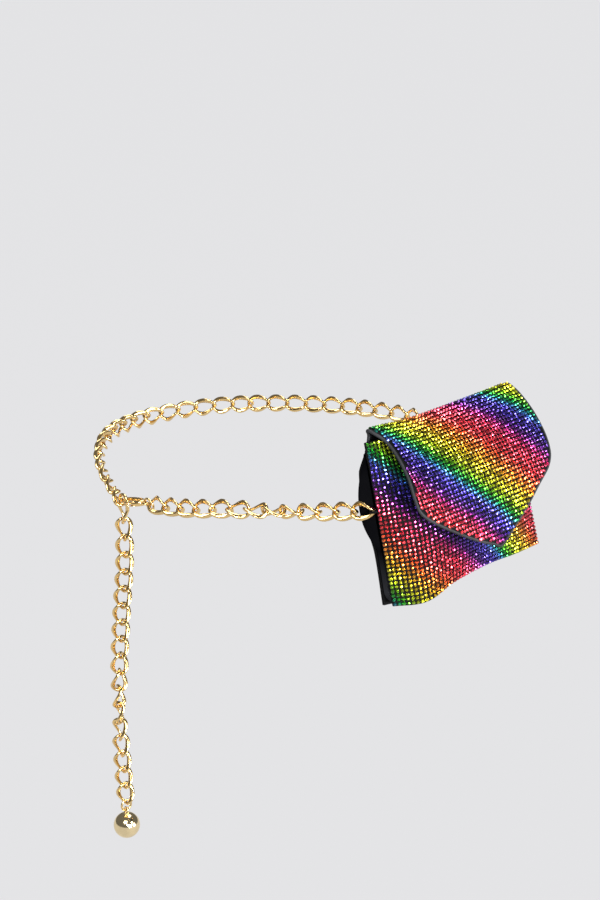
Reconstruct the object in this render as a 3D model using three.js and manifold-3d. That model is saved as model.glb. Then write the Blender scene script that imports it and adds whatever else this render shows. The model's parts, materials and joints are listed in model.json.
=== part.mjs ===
// Rhinestone mini bag on a curb-chain belt, in millimetres with +Z up.
// The origin is the middle of the waist loop, and the bag's front faces -Y.
// Bag surfaces are worked out in the bag's own axes: x along its width, y from front to back, z up.
import * as THREE from 'three';
import { mergeVertices } from 'three/addons/utils/BufferGeometryUtils.js';
import Module from 'manifold-3d';

const wasm = await Module();
wasm.setup();
const radians = THREE.MathUtils.degToRad;

// Bag: overall size, place and tilt
const BAG_WIDTH = 104;
const BAG_HEIGHT = 86;
const BAG_PLACE = new THREE.Vector3(19, -113, 11);
const BAG_ROLL = radians(4.3); // its +X end hangs higher
const BAG_LEAN = radians(10.3); // its bottom stands further out than its top
const WALL = 1.5;
const SKIN = 1.1; // thickness of the paved skin
const GAP = 0.3; // clearance between pieces that touch

// Front panel: how far it swells out, in sections from bottom to top
const FRONT_ACROSS = [0, 0.1, 0.25, 0.5, 0.8, 1];
const FRONT_SECTIONS = [
  { up: 0, left: 6, shoulder: 11, middle: 9, right: 5 },
  { up: 0.4, left: 7, shoulder: 14, middle: 17, right: 10 },
  { up: 0.75, left: 4.5, shoulder: 10, middle: 12, right: 8 },
  { up: 1, left: 1, shoulder: 2, middle: 2, right: 1.5 },
];
const FRONT_COLUMNS = 20;
const FRONT_ROWS = 12;
const PAVED_MARGIN = 0.8;
const PAVED_GAP = 0.45;

// Foot and fold: how far the foot's edge rises and the fold sags from a straight line, by share across
const FOOT_ACROSS = [0, 0.15, 0.3, 0.45, 0.62, 0.8, 1];
const FOOT_RISE = [-0.5, -2.2, 2.5, 3.7, 3.7, 2, 0.4];
const FOOT_REACH = 3.4; // how far the foot's +X corner reaches past the bag's width
const FOLD_ACROSS = [0, 0.12, 0.3, 0.8, 1];
const FOLD_SAG = [0, 0.6, 2.3, 1.9, 1.3];

// Back wall and flap: one sheet, its side view from the foot of the back to the flap's tip
const SHEET_PROFILE = [
  { out: -8, up: -43 },
  { out: -11, up: -15 },
  { out: -10.5, up: 12 },
  { out: -7.5, up: 36 },
  { out: -6, up: 45 },
  { out: -2, up: 49 },
  { out: 3, up: 46.2 },
  { out: 9, up: 40 },
  { out: 15.5, up: 31.5 },
  { out: 21.5, up: 21.5 },
  { out: 26, up: 10.5 },
  { out: 30.4, up: -6 },
  { out: 33.3, up: -24 },
];
const SHEET_ROWS = [
  // stretches of the sheet, by distance along it from the crest of the fold
  { to: -12, rows: 6 },
  { to: 12, rows: 8 },
  { to: 40, rows: 4 },
  { to: 62, rows: 6 },
  { to: 77, rows: 3 },
  { to: 82.6, rows: 4 },
];
const PAVED_START = -6;
const PAVED_ROWS = [
  { to: 12, rows: 6 },
  { to: 40, rows: 4 },
  { to: 62, rows: 6 },
  { to: 77, rows: 3 },
  { to: 81.8, rows: 4 },
];
const SHEET_COLUMNS = 12;
const SHEET_EDGES = [
  // reach of the sheet to its -X and +X edges, by distance along it from the crest of the fold
  { at: -24, left: 52, right: 52 },
  { at: -14, left: 48.5, right: 51.8 },
  { at: -6, left: 45.5, right: 51.6 },
  { at: 0, left: 47.5, right: 52.4 },
  { at: 12, left: 43.5, right: 53.2 },
  { at: 30, left: 44, right: 52.5 },
  { at: 46, left: 46.5, right: 50 },
  { at: 53, left: 45.5, right: 45.3 },
  { at: 60, left: 38.8, right: 35 },
  { at: 70, left: 25, right: 20.5 },
  { at: 77, left: 13.5, right: 9 },
  { at: 81, left: 5, right: 2.2 },
  { at: 82.6, left: 3, right: -1 },
];
const SHEET_LEAST = 1; // half width left at the flap's tip
const BACK_END_UP = [-43, -15, 2, 28, 40, 49];
const BACK_END_FORWARD = [0, 3.5, 0, 0, 2.5, 0]; // how far the back's -X end comes forward

// Gusset: the strip round the pocket's sides and foot, drawn out where the chains pull
const GUSSET_INSET = 0.5;
const GUSSET_CORNER = 7;
const GUSSET_WALL = 1.2;
const GUSSET_FOLD = 6.8;
const GUSSET_FOLD_HEIGHT = 9;
const GUSSET_FOLD_SPREAD = 24;
const GUSSET_RIDGE = 1 / 3; // share of the strip from its free side to the fold's ridge
const GUSSET_TOP = 37;
const GUSSET_FRONT_DEPTH = 1.95; // from the front's face back to the strip, before clearance
const GUSSET_COLUMNS = 3;
const GUSSET_ROWS = 48;

// Side tabs: the loop at each end of the bag that holds the last link
const TAB_INNER = 2.5;
const TAB_OUTER = 3.7;
const TAB_HEIGHT = 1.6;
const ROUND_STEPS = 16;
const TABS = [
  // out: middle of the loop beyond the bag's edge; forward: before the plane of the front's edges
  { name: 'left', way: -1, out: 3.8, forward: 3 },
  { name: 'right', way: 1, out: 6.4, forward: -9.2 },
];

// Chain: one twisted curb link
const WIRE = 0.9; // radius of the wire
const LINK_PITCH = 9.9;
const LINK_HALF_WIDTH = 3.9; // to the middle of the wire
const LINK_PLAY = 0.5; // slack along the chain between one link's end and the next
const LINK_HALF_LENGTH = (LINK_PITCH + 2 * WIRE + LINK_PLAY) / 2;
const LINK_TWIST = radians(50);
const LINK_STEPS = 10;
const LINK_SIDES = 5;
const HOOKED_LINK_HALF_LENGTH = 7.8;
const HOOKED_LINK_FLAT = 0.5; // share of its length, from the hook down, that isn't twisted
const HOOK_PLAY = 0.7; // from the hook's top to the wire of the link it holds
const TURN_LINKS = 9; // links over which a hanging chain makes its half turn
const FRONT_TURN_MIDDLE = 5.5;
const TAIL_TURN_MIDDLE = 11.5;
const TAIL_ROLL = radians(-50); // turn of the tail below the hooked link
const TAIL_ROLL_LINKS = 2; // links over which it comes in
const TAIL_BOW = [0, 0.1, 2.4, 4.3, 4.9, 4, 2.2]; // how far the tail bows out, at even steps down its length
const TAIL_BOW_WAY = new THREE.Vector3(-0.764, 0.645, 0);
const FRONT_LINKS = 13;
const SIDE_LINKS = 11;
const SIDE_ROLL = radians(-40); // the first side link lies level to pass through the hooked link
const SIDE_ROLL_LINKS = 5;
const TAIL_LINKS = 18;
const BACK_STRETCHES = 4;
const BACK_STRETCH_LINKS = 6;

// Waist loop: an oval that is longest from the wearer's left to right, turned to the bag
const WAIST_SIDE = 105;
const WAIST_FRONT = 85;
const WAIST_TURN = radians(29);
const BELT_HEIGHTS = [
  // angle round the oval: 0 is the wearer's left side and 90 the front
  { angle: 91, height: 6 },
  { angle: 105, height: 2.5 },
  { angle: 125, height: -0.5 },
  { angle: 150, height: 4.5 },
  { angle: 172, height: 11 },
  { angle: 215, height: 13 },
  { angle: 300, height: 17 },
  { angle: 318, height: 18 },
];
const FRONT_SAG = 1.2;
const FRONT_TANGENT = 91.5; // where the front chain meets the oval
const FRONT_ANGLES = [100, 110, 120, 130];
const CLASP_AIM_ANGLE = 138;
const ROUND_ANGLES = [150, 165, 180, 195, 210, 225, 240, 255, 270, 285, 300];
const RIGHT_TANGENT = 318; // where the hidden chain leaves the oval for the bag
const SIDE_START_AHEAD = 1.1; // start of the side chain beyond the hook's tip

// Clasp: a flat hook with an eye at one end and a sprung lever across its mouth
const CLASP_MIDDLE = 12.4; // from the eye to the middle of the hook's loop
const CLASP_HALF_LENGTH = 9.5;
const CLASP_HALF_WIDTH = 4.2;
const CLASP_BAND = 1.1; // half the width of the hook's band
const CLASP_THICK = 2.6;
const CLASP_SLOPE = -0.18; // drop along its length
const CLASP_MOUTH_START = 125;
const CLASP_MOUTH_END = 40;
const CLASP_EYE_OUTER = 2.4;
const CLASP_EYE_HOLE = 1.3;
const CLASP_EYE_THICK = 2;
const LEVER_THICK = 1.2;
const LEVER_BAND = 0.8;
const LEVER_PIVOT_RADIUS = 1.3;
const LEVER_END = 58;
const LEVER_KNOB = 0.95;
const LEVER_KNOB_ANGLE = 108;
const LEVER_KNOB_OUT = 0.4;
const LEVER_STEPS = 8;
const HOOK_STEPS = 22;
const SLOT = { length: 5, width: 6, ahead: 0.6, out: 0.4 };
const CHEEK_RADIUS = 2;
const JUMP_RING = 3.3;
const JUMP_WIRE = 0.6;
const JUMP_LEAN = radians(-20); // towards the twist of the link it goes through
const JUMP_SLACK = 0.25;
const RING_SIDES = 6;

// Drop: the gold ball on its ring at the end of the tail
const BALL_RADIUS = 7.5;
const EYE_RADIUS = 1.8;
const EYE_WIRE = 0.6;
const DROP_RING = 3.1;
const DROP_WIRE = 0.6;
const DROP_STEPS = 14;
const EYE_STEPS = 12;
const BALL_AROUND = 16;
const BALL_RINGS = 10;

const LEATHER = { color: 0x17161a, roughness: 0.6, metalness: 0 };
const PAVED = { color: 0x9a4a9a, roughness: 0.25, metalness: 0 };
const GOLD = { color: 0xe3bd6e, roughness: 0.2, metalness: 1 };

const model = new THREE.Group();
const bag = new THREE.Group();
bag.position.copy(BAG_PLACE);
bag.rotation.set(-BAG_LEAN, -BAG_ROLL, 0, 'YXZ');
bag.updateMatrixWorld(true);
model.add(bag);

function addPiece(parent, name, geometry, finish) {
  const mesh = new THREE.Mesh(geometry, new THREE.MeshStandardMaterial(finish));
  mesh.name = name;
  parent.add(mesh);
  return mesh;
}

// Closed geometry with shared corners and its faces pointing out
function closed(geometry) {
  const plain = geometry.clone();
  plain.deleteAttribute('normal');
  plain.deleteAttribute('uv');
  const joined = mergeVertices(plain, 1e-4);
  const index = joined.index.array;
  const at = joined.attributes.position;
  const corner = [new THREE.Vector3(), new THREE.Vector3(), new THREE.Vector3()];
  let volume = 0;
  for (let i = 0; i < index.length; i += 3) {
    corner.forEach((point, k) => point.fromBufferAttribute(at, index[i + k]));
    volume += corner[0].dot(corner[1].cross(corner[2]));
  }
  if (volume < 0) {
    for (let i = 0; i < index.length; i += 3) {
      [index[i], index[i + 1]] = [index[i + 1], index[i]];
    }
  }
  return joined;
}

function toSolid(geometry) {
  const source = closed(geometry);
  const vertProperties = new Float32Array(source.attributes.position.array);
  const triVerts = new Uint32Array(source.index.array);
  return new wasm.Manifold(new wasm.Mesh({ numProp: 3, vertProperties, triVerts }));
}

function toGeometry(solid) {
  const mesh = solid.getMesh();
  const geometry = new THREE.BufferGeometry();
  geometry.setAttribute('position', new THREE.BufferAttribute(mesh.vertProperties, 3));
  geometry.setIndex(new THREE.BufferAttribute(mesh.triVerts, 1));
  return geometry;
}

// Smooth curve through a short table of places and values
function smoothTable(places, values) {
  const last = places.length - 1;
  const slopes = places.map((place, i) => {
    const before = Math.max(i - 1, 0);
    const after = Math.min(i + 1, last);
    return (values[after] - values[before]) / (places[after] - places[before]);
  });
  return (x) => {
    let i = 0;
    while (i < last - 1 && x > places[i + 1]) {
      i += 1;
    }
    const span = places[i + 1] - places[i];
    const t = THREE.MathUtils.clamp((x - places[i]) / span, 0, 1);
    const t2 = t * t;
    const t3 = t2 * t;
    const start = (2 * t3 - 3 * t2 + 1) * values[i] + (t3 - 2 * t2 + t) * span * slopes[i];
    const end = (3 * t2 - 2 * t3) * values[i + 1] + (t3 - t2) * span * slopes[i + 1];
    return start + end;
  };
}

// Unit vector square to a face(s, t), on the side of its s direction crossed with its t direction
function squareTo(face, s, t) {
  const step = 1e-3;
  const s0 = Math.max(s - step, 0);
  const s1 = Math.min(s + step, 1);
  const t0 = Math.max(t - step, 0);
  const t1 = Math.min(t + step, 1);
  const along = face(s1, t).sub(face(s0, t));
  const up = face(s, t1).sub(face(s, t0));
  return along.cross(up).normalize();
}

// Wall between two offsets from a face(s, t), as a box grid bent onto it and trimmed at its edges
function wall(face, low, high, columns, rows, trim = { across: 0, up: 0 }) {
  const box = new THREE.BoxGeometry(1, 1, 1, columns, 1, rows);
  const at = box.attributes.position;
  for (let i = 0; i < at.count; i += 1) {
    const s = THREE.MathUtils.clamp(at.getX(i) + 0.5, trim.across, 1 - trim.across);
    const t = THREE.MathUtils.clamp(at.getZ(i) + 0.5, trim.up, 1 - trim.up);
    const offset = at.getY(i) < 0 ? high : low;
    const point = face(s, t).addScaledVector(squareTo(face, s, t), offset);
    at.setXYZ(i, point.x, point.y, point.z);
  }
  return closed(box);
}

// Front panel and its paved skin
const sectionCurves = FRONT_SECTIONS.map((section) =>
  smoothTable(FRONT_ACROSS, [0, section.left, section.shoulder, section.middle, section.right, 0]),
);
const sectionHeights = FRONT_SECTIONS.map((section) => section.up);

function frontBulge(across, up) {
  const values = sectionCurves.map((curve) => curve(across));
  return smoothTable(sectionHeights, values)(up);
}

const footRise = smoothTable(FOOT_ACROSS, FOOT_RISE);
const foldSag = smoothTable(FOLD_ACROSS, FOLD_SAG);

// Rise of the foot's edge, fading towards the top
function riseAt(x, up) {
  const below = Math.max(0.5 - up / BAG_HEIGHT, 0);
  return footRise(x / BAG_WIDTH + 0.5) * below ** 2;
}

// Reach of the foot's +X corner, fading towards the middle and the top
function reachAt(x, up) {
  const below = Math.max(0.5 - up / BAG_HEIGHT, 0);
  return FOOT_REACH * (Math.max(2 * x / BAG_WIDTH, 0) * below) ** 2;
}

// Sag of the fold, fading towards the foot
function sagAt(x, up) {
  const share = THREE.MathUtils.clamp(up / BAG_HEIGHT + 0.5, 0, 1);
  return foldSag(x / BAG_WIDTH + 0.5) * share ** 4;
}

function frontFace(s, t) {
  const x = (s - 0.5) * BAG_WIDTH;
  const up = (t - 0.5) * BAG_HEIGHT;
  return new THREE.Vector3(x + reachAt(x, up), -frontBulge(s, t), up + riseAt(x, up) - sagAt(x, up));
}

const pavedTrim = { across: PAVED_MARGIN / BAG_WIDTH, up: PAVED_MARGIN / BAG_HEIGHT };
addPiece(bag, 'front_panel', wall(frontFace, -WALL, 0, FRONT_COLUMNS, FRONT_ROWS), LEATHER);
addPiece(
  bag,
  'front_stones',
  wall(frontFace, PAVED_GAP, PAVED_GAP + SKIN, FRONT_COLUMNS, FRONT_ROWS, pavedTrim),
  PAVED,
);

// Back wall and flap in one sheet, with the flap's paved skin
const sheetCurve = new THREE.CatmullRomCurve3(
  SHEET_PROFILE.map((point) => new THREE.Vector3(0, -point.out, point.up)),
  false,
  'centripetal',
);
sheetCurve.arcLengthDivisions = 800;
const sheetLength = sheetCurve.getLength();

function findCrest() {
  const samples = 1000;
  let crest = 0;
  for (let i = 1; i <= samples; i += 1) {
    const higher = sheetCurve.getPointAt(i / samples).z > sheetCurve.getPointAt(crest).z;
    crest = higher ? i / samples : crest;
  }
  return crest * sheetLength;
}
const crestDistance = findCrest();

function sheetPoint(distance) {
  return sheetCurve.getPointAt(THREE.MathUtils.clamp((crestDistance + distance) / sheetLength, 0, 1));
}

const edgePlaces = SHEET_EDGES.map((row) => row.at);
const leftReach = smoothTable(edgePlaces, SHEET_EDGES.map((row) => row.left));
const rightReach = smoothTable(edgePlaces, SHEET_EDGES.map((row) => row.right));

const backEndForward = smoothTable(BACK_END_UP, BACK_END_FORWARD);

// How far the back wall comes forward towards the -X end
function endForward(x, up) {
  return x < 0 ? backEndForward(up) * (-2 * x / BAG_WIDTH) ** 3 : 0;
}

// Distances from the crest of a sheet's rows, stretch by stretch
function rowDistances(start, stretches) {
  const list = [start];
  let from = start;
  stretches.forEach((stretch) => {
    for (let i = 1; i <= stretch.rows; i += 1) {
      list.push(THREE.MathUtils.lerp(from, stretch.to, i / stretch.rows));
    }
    from = stretch.to;
  });
  return list;
}

function sheetFace(rows, margin) {
  return (s, t) => {
    const place = t * (rows.length - 1);
    const row = Math.min(Math.floor(place), rows.length - 2);
    const distance = THREE.MathUtils.lerp(rows[row], rows[row + 1], place - row);
    const point = sheetPoint(distance);
    const left = leftReach(distance);
    const right = rightReach(distance);
    const half = Math.max((left + right) / 2 - margin, SHEET_LEAST);
    point.x = (right - left) / 2 + (s * 2 - 1) * half;
    const up = point.z;
    point.z -= sagAt(point.x, up);
    if (distance < 0) {
      point.y -= endForward(point.x, up);
      point.z += riseAt(point.x, up);
      point.x += reachAt(point.x, up);
    }
    return point;
  };
}

const sheetRows = rowDistances(-crestDistance, SHEET_ROWS);
const pavedRows = rowDistances(PAVED_START, PAVED_ROWS);
const sheet = wall(sheetFace(sheetRows, 0), 0, WALL, SHEET_COLUMNS, sheetRows.length - 1);
const pavedFace = sheetFace(pavedRows, PAVED_MARGIN);
const pavedSkin = wall(pavedFace, -PAVED_GAP - SKIN, -PAVED_GAP, SHEET_COLUMNS, pavedRows.length - 1);
addPiece(bag, 'back_and_flap', sheet, LEATHER);
addPiece(bag, 'flap_stones', pavedSkin, PAVED);

// Gusset: a strip along a U round the pocket, from the back wall to the front panel
const side = BAG_WIDTH / 2 - GUSSET_INSET;
const foot = -BAG_HEIGHT / 2 + GUSSET_INSET;
const gussetPath = new THREE.Path();
gussetPath.moveTo(-side, GUSSET_TOP);
gussetPath.lineTo(-side, foot + GUSSET_CORNER);
gussetPath.absarc(-side + GUSSET_CORNER, foot + GUSSET_CORNER, GUSSET_CORNER, Math.PI, 1.5 * Math.PI);
gussetPath.lineTo(side - GUSSET_CORNER, foot);
gussetPath.absarc(side - GUSSET_CORNER, foot + GUSSET_CORNER, GUSSET_CORNER, 1.5 * Math.PI, 2 * Math.PI);
gussetPath.lineTo(side, GUSSET_TOP);

function backOut(up) {
  let low = 0;
  let high = crestDistance;
  for (let i = 0; i < 40; i += 1) {
    const middle = (low + high) / 2;
    if (sheetPoint(middle - crestDistance).z < up) {
      low = middle;
    } else {
      high = middle;
    }
  }
  return -sheetPoint(low - crestDistance).y;
}

function gussetFace(s, t) {
  const place = gussetPath.getPointAt(t);
  const tangent = gussetPath.getTangentAt(t);
  const back = backOut(place.y) + endForward(place.x, place.y) + WALL + 2 * GAP;
  const swell = frontBulge(place.x / BAG_WIDTH + 0.5, place.y / BAG_HEIGHT + 0.5);
  const front = swell - GUSSET_FRONT_DEPTH - 2 * GAP;
  const rise = (place.y - GUSSET_FOLD_HEIGHT) / GUSSET_FOLD_SPREAD;
  const drawn = GUSSET_FOLD * Math.max(1 - rise * rise, 0);
  const ridge = place.x < 0 ? GUSSET_RIDGE : 1 - GUSSET_RIDGE;
  const fold = drawn * (s < ridge ? s / ridge : (1 - s) / (1 - ridge));
  return new THREE.Vector3(
    place.x + reachAt(place.x, place.y) + tangent.y * fold,
    -THREE.MathUtils.lerp(back, front, s),
    place.y - tangent.x * fold + riseAt(place.x, place.y) - sagAt(place.x, place.y),
  );
}

addPiece(bag, 'gusset', wall(gussetFace, 0, GUSSET_WALL, GUSSET_COLUMNS, GUSSET_ROWS), LEATHER);

// Side tabs
function flatRing(inner, outer, height) {
  const profile = [
    new THREE.Vector2(inner, -height / 2),
    new THREE.Vector2(outer, -height / 2),
    new THREE.Vector2(outer, height / 2),
    new THREE.Vector2(inner, height / 2),
    new THREE.Vector2(inner, -height / 2),
  ];
  return closed(new THREE.LatheGeometry(profile, ROUND_STEPS).rotateX(Math.PI / 2));
}

const tabCentres = {};
TABS.forEach(({ name, way, out, forward }) => {
  const place = new THREE.Vector3(way * (BAG_WIDTH / 2 + out), -forward, GUSSET_FOLD_HEIGHT);
  const tab = addPiece(bag, `side_tab_${name}`, flatRing(TAB_INNER, TAB_OUTER, TAB_HEIGHT), LEATHER);
  tab.position.copy(place);
  tabCentres[name] = place.clone().applyMatrix4(bag.matrixWorld);
});

// Waist oval, seen from above, and the belt's height round it
const waistLeft = new THREE.Vector3(Math.sin(WAIST_TURN), -Math.cos(WAIST_TURN), 0);
const waistFront = new THREE.Vector3(-Math.cos(WAIST_TURN), -Math.sin(WAIST_TURN), 0);
const beltHeight = smoothTable(
  BELT_HEIGHTS.map((row) => row.angle),
  BELT_HEIGHTS.map((row) => row.height),
);

function beltPoint(angle) {
  const turn = radians(angle);
  return new THREE.Vector3()
    .addScaledVector(waistLeft, WAIST_SIDE * Math.cos(turn))
    .addScaledVector(waistFront, WAIST_FRONT * Math.sin(turn))
    .setZ(beltHeight(angle));
}

// Curb link: an oval of round wire, twisted about its length so that each link lies flat on the next
function linkGeometry(halfLength, startTwist = -LINK_TWIST, flat = 0) {
  const round = 10;
  const torus = new THREE.TorusGeometry(round, WIRE, LINK_SIDES, LINK_STEPS);
  const at = torus.attributes.position;
  for (let i = 0; i < at.count; i += 1) {
    const turn = Math.atan2(at.getY(i), at.getX(i));
    const outward = Math.hypot(at.getX(i), at.getY(i)) - round;
    const slope = new THREE.Vector2(Math.cos(turn) / halfLength, Math.sin(turn) / LINK_HALF_WIDTH);
    const square = slope.normalize();
    const x = halfLength * Math.cos(turn) + square.x * outward;
    const y = LINK_HALF_WIDTH * Math.sin(turn) + square.y * outward;
    const share = THREE.MathUtils.clamp(x / halfLength, -1, 1) / 2 + 0.5;
    const twist = THREE.MathUtils.lerp(startTwist, LINK_TWIST, Math.max(share - flat, 0) / (1 - flat));
    const z = at.getZ(i);
    at.setXYZ(i, x, y * Math.cos(twist) - z * Math.sin(twist), y * Math.sin(twist) + z * Math.cos(twist));
  }
  return closed(torus);
}

// Matrix that lays a link along a direction with its flat side to a face direction, rolled about its length
function linkMatrix(centre, along, facing, roll) {
  const x = along.clone().normalize();
  const y = facing.clone().cross(x).normalize();
  const z = x.clone().cross(y);
  const turn = new THREE.Matrix4().makeRotationX(roll);
  return new THREE.Matrix4().makeBasis(x, y, z).multiply(turn).setPosition(centre);
}

function addLink(name, matrix, geometry = linkGeometry(LINK_HALF_LENGTH)) {
  const link = addPiece(model, name, geometry, GOLD);
  link.applyMatrix4(matrix);
  return link;
}

function routeMatrix(route, distance, roll) {
  const share = distance / route.getLength();
  const centre = route.getPointAt(share);
  const along = route.getTangentAt(share);
  const facing = new THREE.Vector3(centre.x, centre.y, 0);
  return linkMatrix(centre, along, facing, roll);
}

function numbered(name, i) {
  return `${name}_${String(i + 1).padStart(2, '0')}`;
}

// Chain from the bag's left end to the clasp, with a half turn along the middle of it
const leftTangent = beltPoint(FRONT_TANGENT);
const leftMiddle = tabCentres.left.clone().lerp(leftTangent, 0.5);
leftMiddle.z -= FRONT_SAG;
const frontRoute = new THREE.CatmullRomCurve3(
  [tabCentres.left, leftMiddle, leftTangent, ...FRONT_ANGLES.map(beltPoint)],
  false,
  'centripetal',
);
frontRoute.arcLengthDivisions = 600;

// Roll of link i in a chain that makes one half turn about a middle link
function halfTurn(i, middle) {
  return -Math.PI * THREE.MathUtils.smoothstep(i, middle - TURN_LINKS / 2, middle + TURN_LINKS / 2);
}

for (let i = 0; i < FRONT_LINKS; i += 1) {
  const distance = LINK_HALF_LENGTH + i * LINK_PITCH;
  addLink(numbered('front_link', i), routeMatrix(frontRoute, distance, halfTurn(i, FRONT_TURN_MIDDLE)));
}

// Clasp: its x runs from the eye to the hook and its y lies level
const frontEnd = 2 * LINK_HALF_LENGTH + (FRONT_LINKS - 1) * LINK_PITCH;
const claspStart = frontRoute.getPointAt(frontEnd / frontRoute.getLength());
const claspAim = beltPoint(CLASP_AIM_ANGLE).sub(claspStart).setZ(0).normalize().setZ(CLASP_SLOPE).normalize();
const ringReach = 2 * JUMP_RING - 2 * JUMP_WIRE - WIRE - GAP;
const eyePlay = CLASP_EYE_HOLE - JUMP_WIRE - GAP;
const eyeCentre = claspStart.clone().addScaledVector(claspAim, ringReach + JUMP_WIRE - eyePlay + JUMP_SLACK);
const clasp = new THREE.Group();
const claspSide = new THREE.Vector3(0, 0, 1).cross(claspAim).normalize();
const claspUp = claspAim.clone().cross(claspSide);
clasp.applyMatrix4(new THREE.Matrix4().makeBasis(claspAim, claspSide, claspUp).setPosition(eyeCentre));
clasp.updateMatrixWorld(true);
model.add(clasp);

function claspPoint(degrees, out) {
  const turn = radians(degrees);
  return new THREE.Vector2(
    CLASP_MIDDLE + (CLASP_HALF_LENGTH + out) * Math.cos(turn),
    (CLASP_HALF_WIDTH + out) * Math.sin(turn),
  );
}

// Flat band along the clasp's oval between two angles, centred in thickness
function ovalBand(fromDegrees, toDegrees, half, thick, steps) {
  const outer = [];
  const inner = [];
  for (let i = 0; i <= steps; i += 1) {
    const degrees = THREE.MathUtils.lerp(fromDegrees, toDegrees, i / steps);
    outer.push(claspPoint(degrees, half));
    inner.unshift(claspPoint(degrees, -half));
  }
  const shape = new THREE.Shape([...outer, ...inner]);
  return new THREE.ExtrudeGeometry(shape, { depth: thick, bevelEnabled: false }).translate(0, 0, -thick / 2);
}

function disc(centre, radius, thick) {
  const round = new THREE.CylinderGeometry(radius, radius, thick, ROUND_STEPS).rotateX(Math.PI / 2);
  return round.translate(centre.x, centre.y, 0);
}

// The wearer's outer side of the clasp holds the mouth
const mouthSide = claspSide.dot(claspStart) > 0 ? 1 : -1;
const pivot = claspPoint(CLASP_MOUTH_START, 0);
const slotThick = LEVER_THICK + 2 * GAP;
const slotBox = new THREE.BoxGeometry(SLOT.length, SLOT.width, slotThick);
const slot = slotBox.translate(pivot.x + SLOT.ahead, pivot.y + SLOT.out, 0);
const hook = toSolid(ovalBand(CLASP_MOUTH_START, 360 + CLASP_MOUTH_END, CLASP_BAND, CLASP_THICK, HOOK_STEPS));
const claspBody = hook
  .add(toSolid(disc(pivot, CHEEK_RADIUS, CLASP_THICK)))
  .subtract(toSolid(slot))
  .add(toSolid(flatRing(CLASP_EYE_HOLE, CLASP_EYE_OUTER, CLASP_EYE_THICK)));
const lever = toSolid(ovalBand(CLASP_MOUTH_START, LEVER_END, LEVER_BAND, LEVER_THICK, LEVER_STEPS))
  .add(toSolid(disc(pivot, LEVER_PIVOT_RADIUS, LEVER_THICK)))
  .add(toSolid(disc(claspPoint(LEVER_KNOB_ANGLE, LEVER_BAND + LEVER_KNOB_OUT), LEVER_KNOB, LEVER_THICK)));
const mouthOut = new THREE.Matrix4().makeScale(1, mouthSide, 1);
addPiece(clasp, 'clasp_body', closed(toGeometry(claspBody).applyMatrix4(mouthOut)), GOLD);
addPiece(clasp, 'clasp_lever', closed(toGeometry(lever).applyMatrix4(mouthOut)), GOLD);
const jumpTorus = new THREE.TorusGeometry(JUMP_RING, JUMP_WIRE, RING_SIDES, ROUND_STEPS);
const jumpRing = closed(jumpTorus.rotateX(Math.PI / 2));
const ringMesh = addPiece(clasp, 'clasp_ring', jumpRing, GOLD);
ringMesh.position.x = -eyePlay - JUMP_RING;
ringMesh.rotation.x = JUMP_LEAN;

// Tail: the free end of the chain, hung by a longer first link on the hook
const hookTop = CLASP_THICK / 2 + HOOK_PLAY + WIRE;
const hookCentre = new THREE.Vector3(CLASP_MIDDLE + CLASP_HALF_LENGTH, 0, 0).applyMatrix4(clasp.matrixWorld);
const down = new THREE.Vector3(0, 0, -1);
const tailFacing = claspSide.clone().multiplyScalar(mouthSide);
const tailTop = hookCentre.clone();
tailTop.z += hookTop;
const firstCentre = tailTop.clone().addScaledVector(down, HOOKED_LINK_HALF_LENGTH);
const hookedLink = linkGeometry(HOOKED_LINK_HALF_LENGTH, 0, HOOKED_LINK_FLAT);
addLink(numbered('tail_link', 0), linkMatrix(firstCentre, down, tailFacing, 0), hookedLink);
const firstStep = HOOKED_LINK_HALF_LENGTH + LINK_HALF_LENGTH - 2 * WIRE - LINK_PLAY;
const bowStep = (firstStep + (TAIL_LINKS - 1) * LINK_PITCH) / (TAIL_BOW.length - 1);
const tailPoints = TAIL_BOW.map((bow, i) => {
  const plumb = firstCentre.clone().addScaledVector(down, i * bowStep);
  return plumb.addScaledVector(TAIL_BOW_WAY, bow);
});
const tailRoute = new THREE.CatmullRomCurve3(tailPoints, false, 'centripetal');
tailRoute.arcLengthDivisions = 2000;
let lastTail = null;
for (let i = 1; i < TAIL_LINKS; i += 1) {
  const share = (firstStep + (i - 1) * LINK_PITCH) / tailRoute.getLength();
  const along = tailRoute.getTangentAt(share);
  const roll = halfTurn(i, TAIL_TURN_MIDDLE) + TAIL_ROLL * Math.min(i / TAIL_ROLL_LINKS, 1);
  const lie = linkMatrix(tailRoute.getPointAt(share), along, tailFacing, roll);
  lastTail = addLink(numbered('tail_link', i), lie);
}

// Drop: jump ring through the last link, and the ball with its soldered eye
const tailEnd = new THREE.Vector3(LINK_HALF_LENGTH, 0, 0).applyMatrix4(lastTail.matrix);
const endAcross = new THREE.Vector3(0, Math.cos(LINK_TWIST), Math.sin(LINK_TWIST));
const endWire = endAcross.transformDirection(lastTail.matrix).setZ(0).normalize();
const drop = new THREE.Group();
drop.applyMatrix4(
  new THREE.Matrix4().makeBasis(endWire, down.clone().cross(endWire), down).setPosition(tailEnd),
);
model.add(drop);
const dropRingDown = DROP_RING - DROP_WIRE - WIRE - GAP;
const dropTorus = new THREE.TorusGeometry(DROP_RING, DROP_WIRE, RING_SIDES, DROP_STEPS);
const dropRing = addPiece(drop, 'drop_ring', closed(dropTorus.rotateY(Math.PI / 2)), GOLD);
dropRing.position.z = dropRingDown;
const eyeDown = dropRingDown + DROP_RING + EYE_RADIUS - EYE_WIRE - DROP_WIRE - GAP;
const ballDown = eyeDown + EYE_RADIUS + BALL_RADIUS - EYE_WIRE / 2;
const eyeTorus = new THREE.TorusGeometry(EYE_RADIUS, EYE_WIRE, RING_SIDES, EYE_STEPS);
const eyeLoop = eyeTorus.rotateX(Math.PI / 2).translate(0, 0, eyeDown);
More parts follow.
